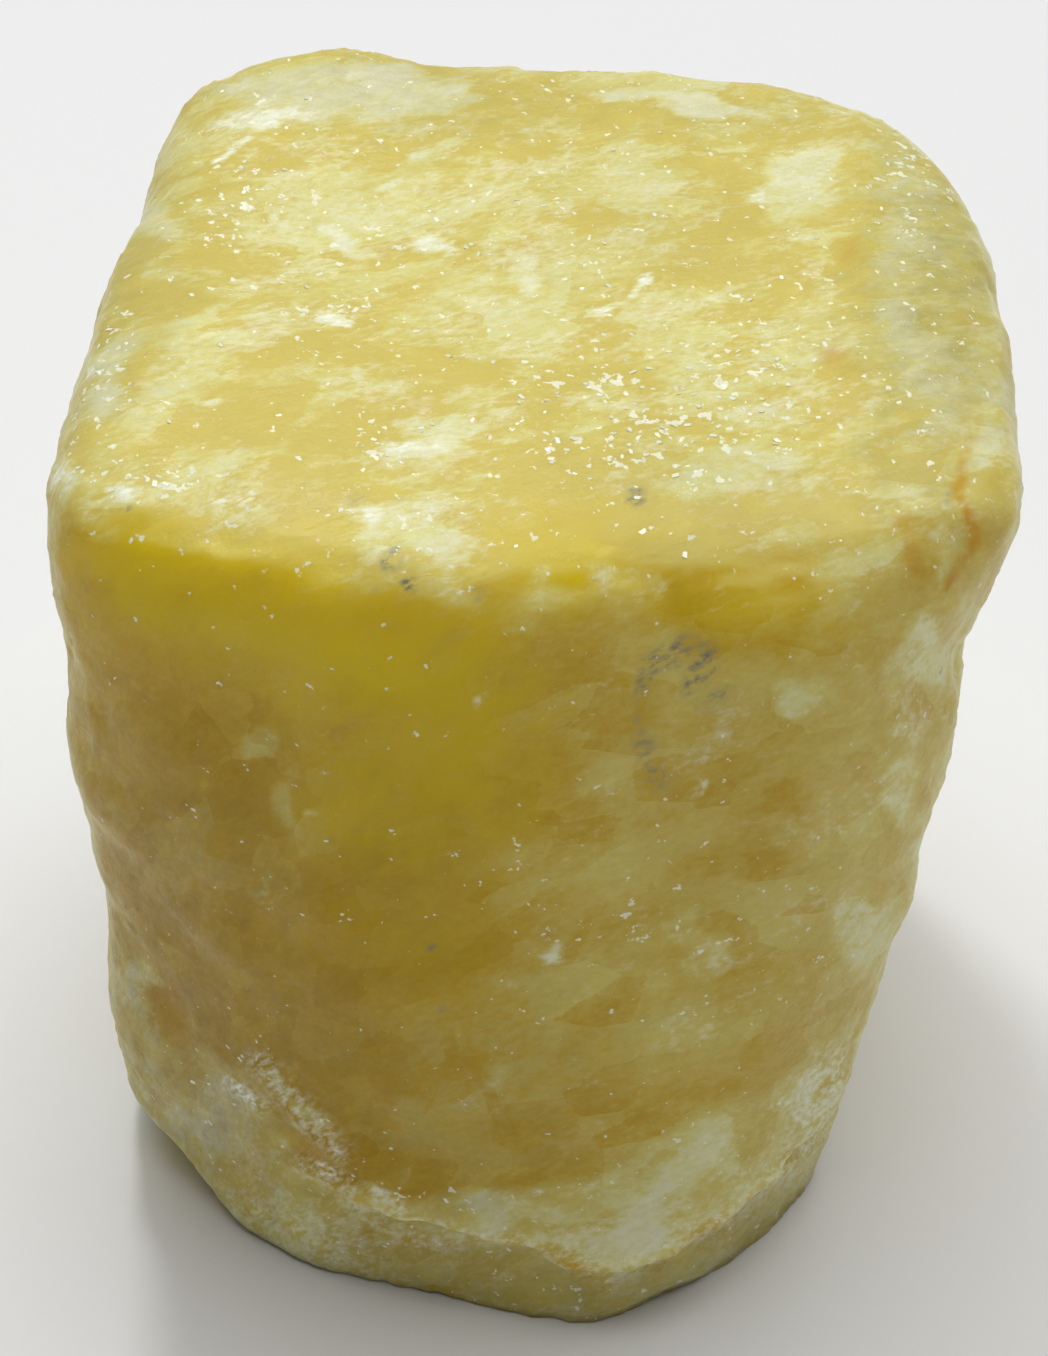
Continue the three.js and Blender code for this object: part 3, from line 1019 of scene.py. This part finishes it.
def surface_normal(tree, plain, drawn, frosty, glint):
    """The fine relief: granular where the stone is milky, with small tilted faces."""
    cells = cells_of(tree, drawn, CRYSTALS)
    milk = level_of(tree, "milk")
    grains = maths(tree, "MULTIPLY", noise_of(tree, plain, GRAINS), milk)
    soft = noise_of(tree, drawn, SOFT_RELIEF)
    bump = add_node(tree, "ShaderNodeBump", {
        "Strength": RELIEF_STRENGTH,
        "Distance": RELIEF_DEPTH,
        "Height": total(tree, soft, (grains, GRAIN_RELIEF)),
    }).outputs[0]
    tilt = vector_maths(tree, "SUBTRACT", cells.outputs["Color"], (0.5, 0.5, 0.5))
    parts = (frosty, CRYSTAL_TILT["frosty"]), (glint, CRYSTAL_TILT["glint"])
    tilt = scaled(tree, tilt, total(tree, CRYSTAL_TILT["everywhere"], *parts))
    tilt = vector_maths(tree, "ADD", tilt, scaled(tree, GLINT_FACING, glint))
    return vector_maths(tree, "NORMALIZE", vector_maths(tree, "ADD", bump, tilt))


def calcite_material():
    """Calcite: translucent honey under milk, frosted and glinting where it is rough."""
    material = bpy.data.materials.new("calcite")
    material.use_nodes = True
    tree = material.node_tree
    tree.nodes.clear()
    plain, drawn = stone_coordinates(tree)
    colour, veil, frosty = body_colour(tree, drawn)
    glint = glinting(tree, plain, drawn)
    # Painted highlight: the glints are whitened in the colour, as well as tilted and glossier.
    bright = maths(tree, "MULTIPLY", glint, PAINTED_GLINT_WHITENESS)
    colour = colour_mix(tree, bright, colour, opaque(FROST_AND_GLINT_WHITE))
    dull = total(
        tree,
        DULLNESS["clear"],
        (frosty, DULLNESS["frosty"]),
        (veil, DULLNESS["veil"]),
        (glint, DULLNESS["glint"]),
        clamp=True,
    )
    shader = add_node(tree, "ShaderNodeBsdfPrincipled", {
        "Base Color": colour,
        "Roughness": dull,
        "IOR": CALCITE_IOR,
        "Specular IOR Level": SHEEN,
        "Normal": surface_normal(tree, plain, drawn, frosty, glint),
        "Subsurface Weight": SCATTER_SHARE,
        "Subsurface Radius": SCATTER_COLOURS,
        "Subsurface Scale": SCATTER_REACH,
    })
    shader.subsurface_method = "BURLEY"
    output = add_node(tree, "ShaderNodeOutputMaterial")
    tree.links.new(shader.outputs[0], output.inputs["Surface"])
    return material


def flake_material():
    """The flakes are too thin to glow from inside, so they are plain and glossy."""
    material = bpy.data.materials.new("calcite flakes")
    material.use_nodes = True
    tree = material.node_tree
    shader = tree.nodes["Principled BSDF"]
    colour = colour_mix(tree, level_of(tree, "frost_and_highlight"), opaque(CREAM), opaque(FROST_AND_GLINT_WHITE))
    tree.links.new(colour, shader.inputs["Base Color"])
    shader.inputs["Roughness"].default_value = DULLNESS_OF_FLAKES
    shader.inputs["IOR"].default_value = CALCITE_IOR
    return material


def make_stone():
    stone = fine_copy(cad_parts["calcite_block"], "calcite_stone")
    break_surface(stone)
    paint(stone)
    stone.data.shade_smooth()
    stone.data.materials.append(calcite_material())
    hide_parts("calcite_block")
    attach(stone, "root")
    return stone


def new_input(tree, name, kind):
    return tree.interface.new_socket(name, in_out="INPUT", socket_type=kind)


def flake_tree():
    """Scatters small slanted slabs over the rough parts of a stone."""
    tree = bpy.data.node_groups.new("cleavage flakes", "GeometryNodeTree")
    new_input(tree, "Stone", "NodeSocketGeometry")
    for name, kind in (
        ("Flakes in a Square Metre", "NodeSocketFloat"),
        ("Longest", "NodeSocketFloat"),
        ("Seed", "NodeSocketInt"),
        ("Material", "NodeSocketMaterial"),
    ):
        new_input(tree, name, kind)
    tree.interface.new_socket("Flakes", in_out="OUTPUT", socket_type="NodeSocketGeometry")
    given = add_node(tree, "NodeGroupInput").outputs
    glint = add_node(
        tree, "GeometryNodeInputNamedAttribute", {"Name": "glint"}, data_type="FLOAT"
    ).outputs["Attribute"]
    place = add_node(tree, "GeometryNodeInputPosition").outputs[0]
    height = add_node(tree, "ShaderNodeSeparateXYZ", {0: place}).outputs["Z"]
    clear_of_floor = maths(tree, "GREATER_THAN", height, FLAKES_ABOVE_FLOOR_MM * MM)
    crowded = maths(tree, "POWER", glint, FLAKE_CROWDING)
    likely = maths(tree, "MULTIPLY", crowded, clear_of_floor)
    density = maths(tree, "MULTIPLY", likely, given["Flakes in a Square Metre"])
    spread = add_node(tree, "GeometryNodeDistributePointsOnFaces", {
        "Mesh": given["Stone"], "Density": density, "Seed": given["Seed"],
    })
    least, most = FLAKE_WHITENESS
    whiteness = add_node(tree, "FunctionNodeRandomValue", {
        2: least, 3: most, "Seed": WHITENESS_SEED,
    })
    marked = add_node(tree, "GeometryNodeStoreNamedAttribute", {
        "Geometry": spread.outputs["Points"], "Name": "frost_and_highlight", "Value": whiteness.outputs[1],
    }, data_type="FLOAT", domain="POINT")
    slab = add_node(tree, "GeometryNodeMeshCube", {"Size": FLAKE_SHAPE}).outputs["Mesh"]
    own = add_node(tree, "ShaderNodeSeparateXYZ", {0: place})
    lean = add_node(tree, "ShaderNodeCombineXYZ", {
        "X": maths(tree, "MULTIPLY", own.outputs["Y"], FLAKE_LEAN),
        "Y": maths(tree, "MULTIPLY", own.outputs["Z"], FLAKE_LEAN),
    }).outputs[0]
    slanted = add_node(tree, "GeometryNodeSetPosition", {"Geometry": slab, "Offset": lean})
    turn = add_node(tree, "FunctionNodeRandomValue", {
        0: (-FLAKE_TILT, -FLAKE_TILT, 0),
        1: (FLAKE_TILT, FLAKE_TILT, math.tau),
        "Seed": TURN_SEED,
    }, data_type="FLOAT_VECTOR").outputs[0]
    turned = add_node(tree, "FunctionNodeRotateRotation", {
        "Rotation": spread.outputs["Rotation"], "Rotate By": turn,
    }, rotation_space="LOCAL").outputs[0]
    least, most = FLAKE_SIZES
    size = add_node(tree, "FunctionNodeRandomValue", {
        2: least, 3: most, "Seed": SIZE_SEED,
    }).outputs[1]
    flakes = add_node(tree, "GeometryNodeInstanceOnPoints", {
        "Points": marked.outputs[0],
        "Instance": slanted.outputs[0],
        "Rotation": turned,
        "Scale": maths(tree, "MULTIPLY", size, given["Longest"]),
    })
    real = add_node(tree, "GeometryNodeRealizeInstances", {"Geometry": flakes.outputs[0]})
    painted_flakes = add_node(tree, "GeometryNodeSetMaterial", {
        "Geometry": real.outputs[0], "Material": given["Material"],
    })
    output = add_node(tree, "NodeGroupOutput")
    tree.links.new(painted_flakes.outputs[0], output.inputs["Flakes"])
    return tree


def make_flakes(stone):
    """Small cleavage flakes that stand a little proud of the rough parts."""
    tree = flake_tree()
    source = bpy.data.objects.new("flake_source", stone.data.copy())
    bpy.context.scene.collection.objects.link(source)
    scatter = source.modifiers.new("scatter", "NODES")
    scatter.node_group = tree
    values = {
        "Flakes in a Square Metre": FLAKES_PER_SQUARE_METRE,
        "Longest": FLAKE_LONGEST_MM * MM,
        "Seed": PLACE_SEED,
        "Material": flake_material(),
    }
    for item in tree.interface.items_tree:
        if item.name in values:
            scatter[item.identifier] = values[item.name]
    seen = source.evaluated_get(bpy.context.evaluated_depsgraph_get())
    flakes = bpy.data.objects.new("cleavage_flakes", bpy.data.meshes.new_from_object(seen))
    bpy.data.objects.remove(source)
    bpy.context.scene.collection.objects.link(flakes)
    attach(flakes, "root")


def make_floor():
    half = FLOOR_METRES / 2
    corners = [(-half, -half, 0), (half, -half, 0), (half, half, 0), (-half, half, 0)]
    mesh = bpy.data.meshes.new("floor")
    mesh.from_pydata(corners, [], [(0, 1, 2, 3)])
    floor = bpy.data.objects.new("floor", mesh)
    bpy.context.scene.collection.objects.link(floor)
    material = bpy.data.materials.new("floor")
    material.use_nodes = True
    shader = material.node_tree.nodes["Principled BSDF"]
    shader.inputs["Base Color"].default_value = opaque(FLOOR_COLOUR)
    shader.inputs["Roughness"].default_value = DULLNESS_OF_FLOOR
    shader.inputs["Specular IOR Level"].default_value = SHEEN
    mesh.materials.append(material)


def aim(lamp, place, target):
    direction = Vector(target) - Vector(place)
    turn = direction.to_track_quat("-Z", "Y").to_matrix().to_4x4()
    lamp.matrix_world = Matrix.Translation(place) @ turn


def add_lights():
    sky = bpy.data.lights.new("soft overhead light", "SUN")
    sky.energy = SKY_STRENGTH
    sky.angle = SKY_SPREAD
    small = bpy.data.lights.new("small lamp for the glints", "AREA")
    small.size = LAMP_METRES
    small.energy = LAMP_WATTS
    for data, place in ((sky, SKY_FROM), (small, LAMP_FROM)):
        lamp = bpy.data.objects.new(data.name, data)
        bpy.context.scene.collection.objects.link(lamp)
        aim(lamp, place, LIT_POINT)


def add_world():
    """A plain surrounding that is pale at the horizon and dim overhead."""
    world = bpy.data.worlds.new("studio")
    world.use_nodes = True
    tree = world.node_tree
    tree.nodes.clear()
    way = add_node(tree, "ShaderNodeTexCoord").outputs["Generated"]
    height = add_node(tree, "ShaderNodeSeparateXYZ", {0: way}).outputs["Z"]
    ramp = add_node(tree, "ShaderNodeValToRGB", {"Fac": height})
    for stop, (position, grey) in zip(ramp.color_ramp.elements, (HORIZON, OVERHEAD)):
        stop.position = position
        stop.color = (grey, grey, grey, 1)
    light = add_node(tree, "ShaderNodeBackground", {"Color": ramp.outputs[0], "Strength": 1.0})
    output = add_node(tree, "ShaderNodeOutputWorld")
    tree.links.new(light.outputs[0], output.inputs["Surface"])
    bpy.context.scene.world = world


add_camera()
add_lights()
add_world()
make_floor()
make_flakes(make_stone())
bpy.context.scene.view_settings.view_transform = "Standard"
